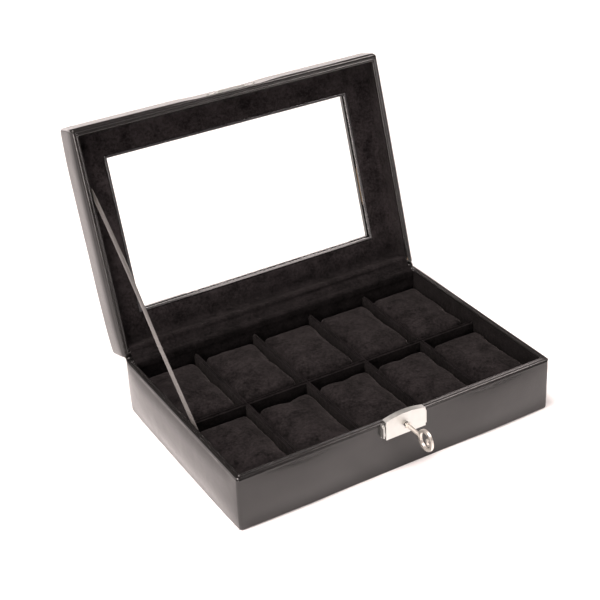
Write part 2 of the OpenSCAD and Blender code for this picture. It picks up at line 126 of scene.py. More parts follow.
# ---------------------------------------------------------------- materials

class Nodes:
    """Short names for building one material's nodes."""

    def __init__(self, name):
        self.material = bpy.data.materials.new(name)
        self.material.use_nodes = True
        self.tree = self.material.node_tree
        self.shader = self.tree.nodes["Principled BSDF"]
        self.place = self.add("ShaderNodeTexCoord").outputs["Object"]

    def add(self, kind, **values):
        """A new node; each value goes to the property or, with its spaces back, the socket of that name."""
        node = self.tree.nodes.new(kind)
        for key, value in values.items():
            if hasattr(node, key):
                setattr(node, key, value)
            else:
                node.inputs[key.replace("_", " ")].default_value = value
        return node

    def link(self, source, target):
        self.tree.links.new(source, target)

    def set(self, **values):
        """Plain numbers and colours on the shader's own sockets."""
        for key, value in values.items():
            self.shader.inputs[key.replace("_", " ")].default_value = value

    def noise(self, size, detail=3.0, rough=0.55, warp=0.0):
        """Noise whose blobs are about "size" metres across."""
        node = self.add("ShaderNodeTexNoise", Scale=1 / size, Detail=detail, Roughness=rough, Distortion=warp)
        self.link(self.place, node.inputs["Vector"])
        return node.outputs["Fac"]

    def cells(self, size):
        """Distance to the middle of cells about "size" metres across."""
        node = self.add("ShaderNodeTexVoronoi", Scale=1 / size)
        self.link(self.place, node.inputs["Vector"])
        return node.outputs["Distance"]

    def height(self):
        """How high the point is on the piece as it stands at rest, in metres."""
        split = self.add("ShaderNodeSeparateXYZ")
        self.link(self.place, split.inputs[0])
        return split.outputs["Z"]

    def blend(self, share, first, second):
        """The first colour where share is 0, the second where it is 1."""
        node = self.add("ShaderNodeMix", data_type="RGBA")
        for source, socket in zip((share, first, second), ("Factor", "A", "B")):
            self.link(source, next(s for s in node.inputs if s.name == socket and s.enabled))
        return next(s for s in node.outputs if s.enabled)

    def map(self, value, low, high, start=0.3, end=0.7):
        """Takes start..end to low..high, and no further."""
        node = self.add("ShaderNodeMapRange", From_Min=start, From_Max=end, To_Min=low, To_Max=high)
        self.link(value, node.inputs["Value"])
        return node.outputs["Result"]

    def ramp(self, value, *stops):
        """A colour ramp through (position, colour) stops."""
        node = self.add("ShaderNodeValToRGB")
        elements = node.color_ramp.elements
        while len(elements) < len(stops):
            elements.new(0.5)
        for element, (position, colour) in zip(elements, stops):
            element.position = position
            element.color = (*colour, 1)
        self.link(value, node.inputs["Fac"])
        return node.outputs["Color"]

    def sum(self, a, b, share):
        """a plus share times b."""
        node = self.add("ShaderNodeMath", operation="MULTIPLY_ADD")
        self.link(b, node.inputs[0])
        node.inputs[1].default_value = share
        self.link(a, node.inputs[2])
        return node.outputs["Value"]

    def bump(self, height, distance, strength):
        """Relief on the surface; a height of 1 stands "distance" metres proud."""
        node = self.add("ShaderNodeBump", Distance=distance, Strength=strength)
        self.link(height, node.inputs["Height"])
        self.link(node.outputs["Normal"], self.shader.inputs["Normal"])

    def drive(self, source, socket):
        """Lets a node's output set one of the shader's sockets."""
        self.link(source, self.shader.inputs[socket])


def leather_material(name):
    """Smooth black leather: fine pores, and soft waves that bend its reflections."""
    n = Nodes(name)
    tone = n.ramp(n.noise(0.012, 4), (0.35, (0.0060, 0.0056, 0.0055)), (0.7, (0.0100, 0.0094, 0.0092)))
    n.drive(tone, "Base Color")
    n.drive(n.map(n.noise(0.02, 5, 0.6), 0.16, 0.23), "Roughness")
    n.set(Specular_IOR_Level=0.5, IOR=1.47, Coat_Weight=0.03, Coat_Roughness=0.12)
    grain = n.sum(n.cells(0.0006), n.noise(0.0016, 3), 0.7)
    waves = n.sum(grain, n.noise(0.03, 2), 14.0)
    n.bump(waves, 0.00006, 0.55)
    return n.material


TRAY_TOP, LID_FOOT = 0.055, 0.085  # painted light on the velour: its colour goes from the darker tray copy to the lighter lid copy between these heights


def velour_material(name, dark, light, sheen, painted_lid_light=1.0):
    """Brushed pile, with painted light: the last argument lightens the colour of what stands higher than the
    tray, a lit copy of the velour for the lid's lining.
    """
    n = Nodes(name)
    patches = n.noise(0.016, 3, 0.6, 0.6)
    tufts = n.noise(0.0026, 5, 0.75, 0.3)
    shade = n.map(n.sum(n.sum(patches, tufts, 1.6), n.noise(0.0007, 4, 0.7), 0.4), 0, 1, 1.15, 1.85)
    # painted light: the darker copy of the colour is for the tray, the lighter copy for the lid's lining
    low = n.ramp(shade, (0.05, dark), (0.95, light))
    high = n.ramp(shade, (0.05, tuple(painted_lid_light * c for c in dark)), (0.95, tuple(painted_lid_light * c for c in light)))
    n.drive(n.blend(n.map(n.height(), 0, 1, TRAY_TOP, LID_FOOT), low, high), "Base Color")
    n.set(Roughness=0.95, Specular_IOR_Level=0.05, Sheen_Weight=sheen, Sheen_Roughness=0.42,
          Sheen_Tint=(0.62, 0.57, 0.55, 1))
    nap = n.sum(n.noise(0.0009, 4, 0.75), n.noise(0.004, 3, 0.6), 1.6)
    n.bump(nap, 0.0005, 0.8)
    return n.material


def felt_material(name):
    """Matted black fibres."""
    n = Nodes(name)
    tone = n.ramp(n.noise(0.0012, 5, 0.8), (0.3, (0.010, 0.010, 0.010)), (0.75, (0.035, 0.034, 0.033)))
    n.drive(tone, "Base Color")
    n.set(Roughness=1.0, Specular_IOR_Level=0.1, Sheen_Weight=0.3, Sheen_Roughness=0.6)
    n.bump(n.noise(0.0008, 5, 0.8), 0.0004, 0.9)
    return n.material


def metal_material(name, colour, rough, scratch=0.35):
    """Cast or rolled metal, a little dull in patches, with fine scratches."""
    n = Nodes(name)
    dull = tuple(0.90 * c for c in colour)
    n.drive(n.ramp(n.noise(0.006, 5, 0.6), (0.3, dull), (0.7, colour)), "Base Color")
    n.drive(n.map(n.noise(0.003, 6, 0.7), rough, rough * 1.4), "Roughness")
    n.set(Metallic=1.0)
    n.bump(n.sum(n.noise(0.0004, 3, 0.7), n.noise(0.004, 2), 4.0), 0.00002, scratch)
    return n.material


def ribbon_material(name):
    """Black satin with its threads across the ribbon's length."""
    n = Nodes(name)
    thread = 0.0011
    warp = n.add("ShaderNodeTexWave", Scale=1 / thread, Distortion=0.4, Detail=1.0, bands_direction="Z")
    n.link(n.place, warp.inputs["Vector"])
    threads = n.sum(warp.outputs["Fac"], n.noise(0.0006, 3), 0.5)
    n.drive(n.ramp(threads, (0.2, (0.016, 0.0145, 0.0138)), (0.9, (0.043, 0.040, 0.037))), "Base Color")
    n.drive(n.map(n.noise(0.01, 2), 0.36, 0.48), "Roughness")
    n.set(Specular_IOR_Level=0.6, Sheen_Weight=0.25, Sheen_Roughness=0.3, Sheen_Tint=(0.9, 0.85, 0.8, 1))
    n.bump(threads, 0.00008, 0.6)
    return n.material


def trim_material(name):
    """Glossy black lacquer."""
    n = Nodes(name)
    tone = n.ramp(n.noise(0.01, 3), (0.3, (0.020, 0.020, 0.021)), (0.7, (0.034, 0.034, 0.036)))
    n.drive(tone, "Base Color")
    n.drive(n.map(n.noise(0.004, 4), 0.12, 0.20), "Roughness")
    n.set(Coat_Weight=0.6, Coat_Roughness=0.06)
    n.bump(n.noise(0.003, 2), 0.00003, 0.3)
    return n.material


def board_material(name):
    """Bare fibreboard."""
    n = Nodes(name)
    chips = n.ramp(n.noise(0.0016, 6, 0.75, 1.0), (0.3, (0.24, 0.16, 0.09)), (0.75, (0.50, 0.37, 0.24)))
    n.drive(chips, "Base Color")
    n.drive(n.map(n.noise(0.002, 4), 0.75, 0.9), "Roughness")
    n.bump(n.noise(0.0006, 5, 0.8), 0.0002, 0.5)
    return n.material


def foam_material(name):
    """Open-celled padding foam."""
    n = Nodes(name)
    tone = n.ramp(n.noise(0.002, 4), (0.3, (0.60, 0.57, 0.50)), (0.7, (0.74, 0.72, 0.66)))
    n.drive(tone, "Base Color")
    n.set(Roughness=0.95)
    n.bump(n.cells(0.0009), 0.0003, 0.7)
    return n.material


def glass_material(name):
    """A clear pane that lets lamps through: a little mirror over a see-through sheet."""
    n = Nodes(name)
    n.tree.nodes.remove(n.shader)
    clear = n.add("ShaderNodeBsdfTransparent", Color=(0.985, 0.995, 0.99, 1))
    mirror = n.add("ShaderNodeBsdfGlossy", Roughness=0.02)
    fresnel = n.add("ShaderNodeFresnel", IOR=1.45)
    smears = n.add("ShaderNodeBump", Distance=0.00002, Strength=0.15)
    n.link(n.noise(0.05, 2), smears.inputs["Height"])
    n.link(smears.outputs["Normal"], mirror.inputs["Normal"])
    mix = n.add("ShaderNodeMixShader")
    n.link(fresnel.outputs[0], mix.inputs[0])
    n.link(clear.outputs[0], mix.inputs[1])
    n.link(mirror.outputs[0], mix.inputs[2])
    n.link(mix.outputs[0], n.tree.nodes["Material Output"].inputs["Surface"])
    return n.material


PILE_DARK = (0.0012, 0.0010, 0.0010)
SLOT_MATERIALS = {
    "leather_black": leather_material("leather_black"),
    # the 2.8 makes velour_black lighter above the tray: painted light on the lid's lining
    "velour_black": velour_material("velour_black", PILE_DARK, (0.0084, 0.0072, 0.0075), 0.045, 2.8),
    "pillow_velour": velour_material("pillow_velour", PILE_DARK, (0.0148, 0.0128, 0.0132), 0.08),
    "felt_black": felt_material("felt_black"),
    "lock_nickel": metal_material("lock_nickel", (0.56, 0.57, 0.55), 0.36),
    "key_nickel": metal_material("key_nickel", (0.66, 0.63, 0.58), 0.38, 0.6),
    "lock_zinc": metal_material("lock_zinc", (0.55, 0.55, 0.55), 0.35),
    "spring_steel": metal_material("spring_steel", (0.45, 0.46, 0.48), 0.25),
    "ribbon_satin": ribbon_material("ribbon_satin"),
    "trim_gloss": trim_material("trim_gloss"),
    "board_fibre": board_material("board_fibre"),
    "foam": foam_material("foam"),
    "window_glass": glass_material("window_glass"),
}
SLOT_OF = {s["node"]: s["material_slot"] for s in frame["record"]["subparts"]}


# ---------------------------------------------------------------- mesh helpers

def mesh_object(name, points, faces):
    mesh = bpy.data.meshes.new(name)
    mesh.from_pydata([tuple(p) for p in points], [], faces)
    mesh.validate()
    return linked(name, mesh)


def block(low, high):
    """A plain block as a bmesh, to be shaped further."""
    shape = bmesh.new()
    bmesh.ops.create_cube(shape, size=1)
    size = high - low
    for v in shape.verts:
        v.co = Vector([low[i] + (v.co[i] + 0.5) * size[i] for i in range(3)])
    return shape


def apply_modifiers(piece):
    """Turns a piece's modifiers into its mesh."""
    graph = bpy.context.evaluated_depsgraph_get()
    mesh = bpy.data.meshes.new_from_object(piece.evaluated_get(graph))
    piece.modifiers.clear()
    piece.data = mesh


def smooth(piece, sharp_angle=35):
    piece.data.shade_smooth()
    piece.data.set_sharp_from_angle(angle=math.radians(sharp_angle))


def outward(piece):
    """Makes every face's normal point out of the piece."""
    shape = bmesh.new()
    shape.from_mesh(piece.data)
    bmesh.ops.recalc_face_normals(shape, faces=shape.faces)
    shape.to_mesh(piece.data)
    shape.free()


def place(piece, body, slot, *nodes):
    """Gives a finished piece its material, body and the CAD nodes it stands for."""
    piece.data.materials.clear()
    piece.data.materials.append(SLOT_MATERIALS[slot])
    if body:
        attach(piece, body)
    if nodes:
        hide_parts(*nodes)
    return piece


def body_of(node):
    return frame["nodes"][node]["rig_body"]


def refined(node, bevel):
    """A CAD node's own shape with its edges rounded off."""
    piece = linked(node + "_finished", frame["nodes"][node].data.copy())
    shape = bmesh.new()
    shape.from_mesh(piece.data)
    bmesh.ops.remove_doubles(shape, verts=shape.verts, dist=1e-6)
    bmesh.ops.dissolve_limit(shape, angle_limit=math.radians(0.6), verts=shape.verts, edges=shape.edges)
    bmesh.ops.recalc_face_normals(shape, faces=shape.faces)
    shape.to_mesh(piece.data)
    shape.free()
    rounding = piece.modifiers.new("edges", "BEVEL")
    rounding.width = bevel
    rounding.segments = 3
    rounding.limit_method = "ANGLE"
    rounding.angle_limit = math.radians(30)
    apply_modifiers(piece)
    smooth(piece, 60)
    even = piece.modifiers.new("normals", "WEIGHTED_NORMAL")
    even.mode, even.weight, even.keep_sharp = "FACE_AREA", 100, True
    apply_modifiers(piece)
    return place(piece, body_of(node), SLOT_OF[node], node)


STEPS_X, STEPS_Y, STEPS_ARC = 60, 40, 8  # points along a ring's sides and round each of its corners


def rounded_ring(low, high, radius, z):
    """Points round a rectangle with round corners at height z, anticlockwise from above."""
    points = []
    corners = [(high.x, low.y, -90, STEPS_Y), (high.x, high.y, 0, STEPS_X),
               (low.x, high.y, 90, STEPS_Y), (low.x, low.y, 180, STEPS_X)]
    ends = []
    for x, y, start, _ in corners:
        centre = Vector((x - math.copysign(radius, x - (low.x + high.x) / 2),
                         y - math.copysign(radius, y - (low.y + high.y) / 2)))
        ends.append([centre + radius * Vector((math.cos(a), math.sin(a)))
                     for a in (math.radians(start + 90 * k / STEPS_ARC) for k in range(STEPS_ARC + 1))])
    for i, (_, _, _, count) in enumerate(corners):
        points += ends[i]
        a, b = ends[i][-1], ends[(i + 1) % 4][0]
        points += [a.lerp(b, k / count) for k in range(1, count)]
    return [Vector((p.x, p.y, z)) for p in points]


def loft(name, rings, close_ends=False):
    """A skin over rings with equal numbers of points."""
    count = len(rings[0])
    points = [p for ring in rings for p in ring]
    faces = []
    rows = len(rings) if close_ends else len(rings) - 1
    for i in range(rows):
        a, b = i * count, (i + 1) % len(rings) * count
        for k in range(count):
            m = (k + 1) % count
            faces.append((a + k, a + m, b + m, b + k))
    return mesh_object(name, points, faces)


def rectangle(low, high, inset):
    """The rectangle's corners moved in by inset."""
    return (Vector((low.x + inset, low.y + inset)), Vector((high.x - inset, high.y - inset)))


def quarter(centre_inset, centre_z, radius, start, end, steps=5):
    """(inset, z) points along an arc; 180 degrees points outwards, 90 up."""
    return [(centre_inset + radius * math.cos(a), centre_z + radius * math.sin(a))
            for a in (math.radians(start + (end - start) * k / steps) for k in range(steps + 1))]


# ---------------------------------------------------------------- leather wraps

# section across a rim's top, from the outer wall inwards: share of the wall's thickness, and height
# above the rim in millimetres
RIM_TOP = [(0.05, -0.75), (0.10, -0.42), (0.17, -0.22), (0.27, 0.02), (0.38, 0.08), (0.47, -0.05),
           (0.53, -0.35), (0.56, -0.75), (0.60, -0.75), (0.63, -0.38), (0.70, -0.12), (0.80, -0.10),
           (0.90, -0.30), (0.97, -0.65), (1.00, -1.10)]


def between(outer, inner, share):
    """The rectangle that lies a share of the way from the outer one to the inner one."""
    return outer[0].lerp(inner[0], share), outer[1].lerp(inner[1], share)


def push_out(ring, rect, amount, even=0.0):
    """Swells a ring's sides by amount, most in the middle of each, and by the share "even" of it everywhere."""
    centre, half = (rect[0] + rect[1]) / 2, (rect[1] - rect[0]) / 2
    on_side = 0.9
    for p in ring:
        u, v = (p.x - centre.x) / half.x, (p.y - centre.y) / half.y
        if even and abs(u) > on_side:
            p.x += math.copysign(amount * even, u)
        if even and abs(v) > on_side:
            p.y += math.copysign(amount * even, v)
        if abs(u) > abs(v):
            p.x += math.copysign(amount * (1 - even) * (1 - min(abs(v), 1) ** 5), u)
        else:
            p.y += math.copysign(amount * (1 - even) * (1 - min(abs(u), 1) ** 5), v)
    return ring


def ripple(piece, height, size, seed=0):
    """Makes a surface slightly uneven, as hand-laid leather or cloth is."""
    shift = Vector((seed * 7.1, seed * 3.3, seed * 5.7))
    for v in piece.data.vertices:
        v.co += v.normal * height * noise.noise(v.co / size + shift)


def press_flat(piece, front, most, fade=75 * MM):
    """Draws the swollen front wall back flat round the lock, and to at most "most" elsewhere."""
    low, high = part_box("lock_plate")
    margin = 4 * MM
    for v in piece.data.vertices:
        if v.co.y < front:
            away = max(0, low.x - margin - v.co.x, v.co.x - high.x - margin)
            share = min(1, away / fade)
            v.co.y = front + max(v.co.y - front, -most) * share * share * (3 - 2 * share)


def base_wrap():
    """Leather round the base, rolled over the rim and folded in down to the linings."""
    low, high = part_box("base_leather")
    outer = (low.xy, high.xy)
    inner = (Vector((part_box("liner_left")[1].x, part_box("liner_front")[1].y)),
             Vector((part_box("liner_right")[0].x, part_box("liner_back")[0].y)))
    rim, fold = high.z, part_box("liner_left")[1].z
    foot = 1.3 * MM
    swell = 3.4 * MM
    upright = 3 * MM  # radius of the upright corners
    # the turned-in edge under the box, and round the foot
    rings = [rounded_ring(*rectangle(*outer, 4 * MM), 2 * MM, low.z + 1.0 * MM)]
    for inset, z in quarter(foot, low.z + foot, foot, 270, 180):
        rings.append(push_out(rounded_ring(*rectangle(*outer, inset), upright, z), outer, 0.3 * swell))
    # the padded wall, which leans in below the rim, and the crease there
    for z in (6, 10, 15, 20, 25, 30, 35, 39, 42, 44.5, 46.5, 48.2, 49.6, 50.8, 51.8):
        share = 1 - abs(z / 27 - 1) ** (3.4 if z > 27 else 2.2)
        lean = max(0, (z - 40) / 12) ** 2
        ring = rounded_ring(*rectangle(*outer, 0.25 * MM * lean), upright, z * MM)
        rings.append(push_out(ring, outer, abs(swell * share - 1.2 * MM * lean)))
    for inset, z in [(0.7, 51.95), (0.75, 52.2)]:
        rings.append(push_out(rounded_ring(*rectangle(*outer, inset * MM), upright, z * MM), outer, 0.3 * MM))
    # the rolled double rim, and down to the linings
    for inset, z in quarter(1.0 * MM, rim - 2.0 * MM, 1.0 * MM, 172, 128, 4):
        rings.append(push_out(rounded_ring(*rectangle(*outer, inset), 2.6 * MM, z), outer, 0.3 * MM))
    for share, height in RIM_TOP:
        rings.append(rounded_ring(*between(outer, inner, share), (2.4 - 1.5 * share) * MM, rim + height * MM))
    for outset, z in [(0, fold + 0.4 * MM), (0, fold + 0.15 * MM), (0.9 * MM, fold - 0.05 * MM)]:
        rings.append(rounded_ring(*rectangle(*inner, -outset), 0.8 * MM, z))
    piece = loft("base_leather_wrap", rings)
    outward(piece)
    ripple(piece, 0.14 * MM, 45 * MM)
    press_flat(piece, low.y + 0.05 * MM, swell)
    smooth(piece, 75)
    return place(piece, "base", "leather_black", "base_leather")


def lid_wrap():
    """Padded leather over the lid, in round the rim and in round the window."""
    low, high = shut_box("lid_leather")
    outer = (low.xy, high.xy)
    inner = (Vector((shut_box("lid_liner_left")[1].x, shut_box("lid_liner_front")[1].y)),
             Vector((shut_box("lid_liner_right")[0].x, shut_box("lid_liner_back")[0].y)))
    glass_top = shut_box("lid_glass")[1].z
    trim = shut_box("window_trim")
    trim_width = 3.0 * MM
    window = rectangle(trim[0].xy, trim[1].xy, trim_width)
    fold = shut_box("lid_liner_left")[0].z
    swell = 2.9 * MM
    upright = 3 * MM  # radius of the upright corners
    rings = []
    # from the linings to the rolled double rim
    for outset, z in [(0.9 * MM, fold + 0.05 * MM), (0, fold - 0.15 * MM), (0, fold - 0.4 * MM)]:
        rings.append(rounded_ring(*rectangle(*inner, -outset), 0.8 * MM, z))
    for share, height in reversed(RIM_TOP):
        rings.append(rounded_ring(*between(outer, inner, share), (2.4 - 1.5 * share) * MM, low.z - height * MM))
    for inset, z in quarter(1.0 * MM, low.z + 2.0 * MM, 1.0 * MM, 232, 188, 4):
        rings.append(push_out(rounded_ring(*rectangle(*outer, inset), 2.6 * MM, z), outer, 0.15 * swell))
    # the padded wall and the round edge above it
    for height in (3, 4, 5.2, 6.5, 8, 10, 13, 16, 19, 22, 24.5):
        share = 1 - (1 - height / 16) ** 4 if height < 16 else 1
        rings.append(push_out(rounded_ring(*outer, upright, low.z + height * MM), outer, swell * share, 0.35))
    edge = 2.2 * MM
    for inset, z in quarter(edge, high.z - edge, edge, 180, 90, 6):
        rings.append(push_out(rounded_ring(*rectangle(*outer, inset), upright, z), outer, swell, 0.35))
    # the crowned top, in round the window and under the glass's upper face
    for share in (0.08, 0.2, 0.4, 0.6, 0.8, 0.92):
        crown = 1.0 * MM * math.sin(math.pi * share) ** 0.7
        rings.append(rounded_ring(*between(rectangle(*outer, edge), window, share), 2 * MM, high.z + crown))
    turn = 1.5 * MM
    for inset, z in quarter(-turn, high.z - turn, turn, 90, 0, 5):
        rings.append(rounded_ring(*rectangle(*window, inset), 1.6 * MM, z))
    for outset in (0, 6 * MM):
        rings.append(rounded_ring(*rectangle(*window, -outset), 1.6 * MM, glass_top - 0.05 * MM))
    piece = loft("lid_leather_wrap", rings)
    # the back rim is lower, to leave room for the velour hinge flap
    back_edge = inner[1].y - 0.8 * MM
    room = shut_box("lid_liner_back")[0].z - low.z - 1.2 * MM
    reach = 5 * MM
    for v in piece.data.vertices:
        if v.co.y > back_edge and abs(v.co.x) < inner[1].x + 1 * MM and v.co.z < low.z + reach:
            v.co.z += room * (1 - (v.co.z - low.z) / reach)
    outward(piece)
    ripple(piece, 0.16 * MM, 40 * MM, 1)
    press_flat(piece, low.y + 0.05 * MM, 0.9 * MM, 25 * MM)
    piece.data.transform(TO_OPEN)
    smooth(piece, 75)
    return place(piece, "lid", "leather_black", "lid_leather")


# ---------------------------------------------------------------- velour linings and dividers

def plush_slab(name, low, high, step, rounding, seed):
    """A lining or divider board under velour: an even slab with soft edges and an uneven pile."""
    shape = block(low, high)
    size = high - low
    rounding = min(rounding, min(size) * 0.45)
    bmesh.ops.bevel(shape, geom=shape.edges[:], offset=rounding, segments=3, affect="EDGES")
    for axis in range(3):
        cuts = int(size[axis] / step)
        direction = Vector([float(i == axis) for i in range(3)])
        for k in range(1, cuts):
            bmesh.ops.bisect_plane(shape, geom=shape.verts[:] + shape.edges[:] + shape.faces[:],
                                   plane_co=low + direction * size[axis] * k / cuts, plane_no=direction)
    bmesh.ops.recalc_face_normals(shape, faces=shape.faces)
    mesh = bpy.data.meshes.new(name)
    shape.to_mesh(mesh)
    shape.free()
    piece = linked(name, mesh)
    ripple(piece, 0.22 * MM, 9 * MM, seed)
    smooth(piece, 80)
    return piece


def add_linings():
    """Velour boards in the tray: four walls, the dividers and the floor."""
    for i, node in enumerate(["liner_front", "liner_back", "liner_left", "liner_right"]):
        low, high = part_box(node)
        high.z += 0.5 * MM
        piece = plush_slab(node + "_plush", low, high, 7 * MM, 0.45 * MM, i)
        place(piece, "base", "velour_black", node)
    for i, node in enumerate(["long_divider"] + [f"cross_divider_{k}" for k in range(1, 5)]):
        low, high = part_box(node)
        piece = plush_slab(node + "_plush", low, high, 5 * MM, 1.7 * MM, 5 + i)
        place(piece, "base", "velour_black", node)
    piece = plush_slab("floor_lining_plush", *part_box("floor_lining"), 12 * MM, 0.3 * MM, 11)
    place(piece, "base", "velour_black", "floor_lining")


def add_lid_linings():
    """Velour boards along the lid's four walls."""
    for i, node in enumerate(["lid_liner_front", "lid_liner_back", "lid_liner_left", "lid_liner_right"]):
        low, high = shut_box(node)
        piece = plush_slab(node + "_plush", low, high, 7 * MM, 0.45 * MM, 12 + i)
        piece.data.transform(TO_OPEN)
        place(piece, "lid", "velour_black", node)


def add_lid_panel():
    """The velour panel round the window, coved up to the lid's walls."""
    low, high = shut_box("lid_panel_lining")
    trim = shut_box("window_trim")
    cavity = rectangle(low.xy, high.xy, 1.0 * MM)
    cove = 5 * MM
    rings = [rounded_ring(low.xy, high.xy, 0.5 * MM, z) for z in (high.z, low.z + 0.1 * MM)]
    for inset, z in quarter(cove, low.z - cove, cove, 180, 90, 6):
        rings.append(rounded_ring(*rectangle(*cavity, inset), 0.6 * MM + 0.5 * inset, z))
    for share in (0.15, 0.3, 0.5, 0.7, 0.85, 0.95):
        rect = between(rectangle(*cavity, cove), (trim[0].xy, trim[1].xy), share)
        rings.append(rounded_ring(*rect, 1.5 * MM, low.z - 0.4 * MM * math.sin(math.pi * share) ** 0.5))
    rings += [rounded_ring(trim[0].xy, trim[1].xy, 1.0 * MM, z) for z in (low.z + 0.4 * MM, high.z)]
    piece = loft("lid_panel_plush", rings, True)
    outward(piece)
    ripple(piece, 0.2 * MM, 12 * MM, 17)
    piece.data.transform(TO_OPEN)
    smooth(piece, 75)
    place(piece, "lid", "velour_black", "lid_panel_lining")


# ---------------------------------------------------------------- pillows

def block_mesh(name, size, step, rounding):
    """A rounded block in even quads, its middle at the origin."""
    shape = block(-size / 2, size / 2)
    mesh = bpy.data.meshes.new(name)
    shape.to_mesh(mesh)
    shape.free()
    piece = linked(name, mesh)
    bevel = piece.modifiers.new("round", "BEVEL")
    bevel.width, bevel.segments, bevel.limit_method = rounding, 3, "NONE"
    remesh = piece.modifiers.new("even", "REMESH")
    remesh.mode, remesh.voxel_size = "VOXEL", step
    apply_modifiers(piece)
    return piece


CLOTH_FRAMES = 20
CLOTH_REACH = 2.5 * MM  # the furthest that a point may move


def simulate(piece, seed):
    """Blows a sewn cover up over its wadding for a moment, so that it swells, wrinkles and settles."""
    for v in piece.data.vertices:
        v.co += v.normal * 0.5 * MM * noise.noise(v.co / (14 * MM) + Vector((seed, 0, 0)))
    cloth = piece.modifiers.new("cloth", "CLOTH")
    settings = cloth.settings
    settings.quality = 5
    settings.mass = 0.3
    settings.tension_stiffness = settings.compression_stiffness = 18
    settings.shear_stiffness = 8
    settings.bending_stiffness = 0.8
    settings.use_pressure = True
    settings.uniform_pressure_force = 4
    settings.shrink_min = -0.02
    settings.effector_weights.gravity = 0
    cloth.point_cache.frame_start, cloth.point_cache.frame_end = 1, CLOTH_FRAMES
    rest = np.array([v.co for v in piece.data.vertices])
    for step in range(1, CLOTH_FRAMES + 1):
        bpy.context.scene.frame_set(step)
    apply_modifiers(piece)
    bpy.context.scene.frame_set(1)
    moved = np.array([v.co for v in piece.data.vertices]) - rest
    reach = np.linalg.norm(moved, axis=1, keepdims=True)
    moved *= np.minimum(1, CLOTH_REACH / np.maximum(reach, 1e-9))
    for v, co in zip(piece.data.vertices, rest + moved):
        v.co = co


def fit(piece, low, high, turned):
    """Scales and moves a cushion into a box; turned ones are the same cushion the other way round."""
    co = np.array([v.co for v in piece.data.vertices])
    if turned:
        co[:, :2] *= -1
    size = np.array(high - low)
    co = (co - co.min(0)) / (co.max(0) - co.min(0)) * size + np.array(low)
    for v, p in zip(piece.data.vertices, co):
        v.co = p


def cushions():
    """Three different cushions, each a crowned, rounded block blown up as cloth."""
    low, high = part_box("pillow_1")
    size = high - low
    crown = 1.8 * MM
    kinds = []
    for seed in range(3):
        kind = block_mesh(f"cushion_{seed}", size - Vector((1 * MM, 1 * MM, 1 * MM)), 4.0 * MM, 3.6 * MM)
        for v in kind.data.vertices:
            if v.co.z > 0:
                u, w = 2 * v.co.x / size.x, 2 * v.co.y / size.y
                v.co.z += crown * max(0, 1 - u * u) * max(0, 1 - w * w) * v.co.z / size.z * 2
        simulate(kind, seed * 3.7)
        kinds.append(kind)
    return kinds


def add_pillows():
    """Ten pillows, each one of the three cushions, turned and rippled in its own way."""
    kinds = cushions()
    rng = random.Random(11)
    full = Vector((-0.15 * MM, 0.5 * MM, 2.5 * MM))  # how far a cushion stands past its CAD block
    for n in range(1, 11):
        node = f"pillow_{n}"
        kind = kinds[rng.randrange(len(kinds))]
        piece = linked(node + "_cushion", kind.data.copy())
        low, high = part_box(node)
        fit(piece, Vector((low.x - full.x, low.y - full.y, low.z)), high + full, rng.random() < 0.5)
        rounder = piece.modifiers.new("subdivision", "SUBSURF")
        rounder.levels = rounder.render_levels = 1
        apply_modifiers(piece)
        ripple(piece, 0.5 * MM, 16 * MM, n)
        ripple(piece, 0.2 * MM, 4 * MM, n)
        smooth(piece, 80)
        place(piece, node, "pillow_velour", node)
    for kind in kinds:
        bpy.data.objects.remove(kind)


# ---------------------------------------------------------------- strips that cross the hinge, and the ribbon

def strip(name, line, thickness, low_x, high_x, columns, sag=0.0, seed=0, corner=0.0):
    """A strip: a (y, z) line with even thickness, carried along x, with a gentle irregular sag.

    Past "corner" from the middle it turns in round the box's upright corners.
    """
    corner_radius = 3 * MM
    line = [Vector(p) for p in line]
    sides = []
    for i, p in enumerate(line):
        a, b = line[max(i - 1, 0)], line[min(i + 1, len(line) - 1)]
        run = (b - a).normalized()
        sides.append(Vector((-run.y, run.x)))
    points, faces = [], []
    rows = len(line)
    for c in range(columns + 1):
        x = low_x + (high_x - low_x) * c / columns
        past = max(0, abs(x) - corner) if corner else 0
        turn = corner_radius - math.sqrt(corner_radius ** 2 - past ** 2)
        for side in (0.5, -0.5):
            for i, p in enumerate(line):
                loose = math.sin(math.pi * i / (rows - 1)) ** 2
                wave = sag * loose * noise.noise(Vector((x / 0.06, i * 0.35, seed)))
                q = p + sides[i] * (side * thickness + wave + turn)
                points.append((x, q.x, q.y))
    span = 2 * rows
    for c in range(columns):
        a, b = c * span, (c + 1) * span
        for i in range(rows - 1):
            faces.append((a + i, a + i + 1, b + i + 1, b + i))
            faces.append((a + rows + i + 1, a + rows + i, b + rows + i, b + rows + i + 1))
        faces.append((a, b, b + rows, a + rows))
        faces.append((a + rows - 1, a + span - 1, b + span - 1, b + rows - 1))
    for end in (0, columns * span):
        for i in range(rows - 1):
            quad = (end + i, end + rows + i, end + rows + i + 1, end + i + 1)
            faces.append(quad if end == 0 else quad[::-1])
    piece = mesh_object(name, points, faces)
    outward(piece)
    return piece


def opened(y, z):
    """Where a point of the shut lid's section goes when the lid stands open."""
    p = TO_OPEN @ Vector((0, y, z))
    return p.y, p.z


def resampled(line, step):
    """The same line with points about "step" apart, rounded at its bends."""
    line = [Vector(p) for p in line]
    out = [line[0]]
    for a, b in zip(line, line[1:]):
        count = max(1, round((b - a).length / step))
        out += [a.lerp(b, k / count) for k in range(1, count + 1)]
    for _ in range(3):
        out = [out[0]] + [(a + 2 * b + c) / 4 for a, b, c in zip(out, out[1:], out[2:])] + [out[-1]]
    return out


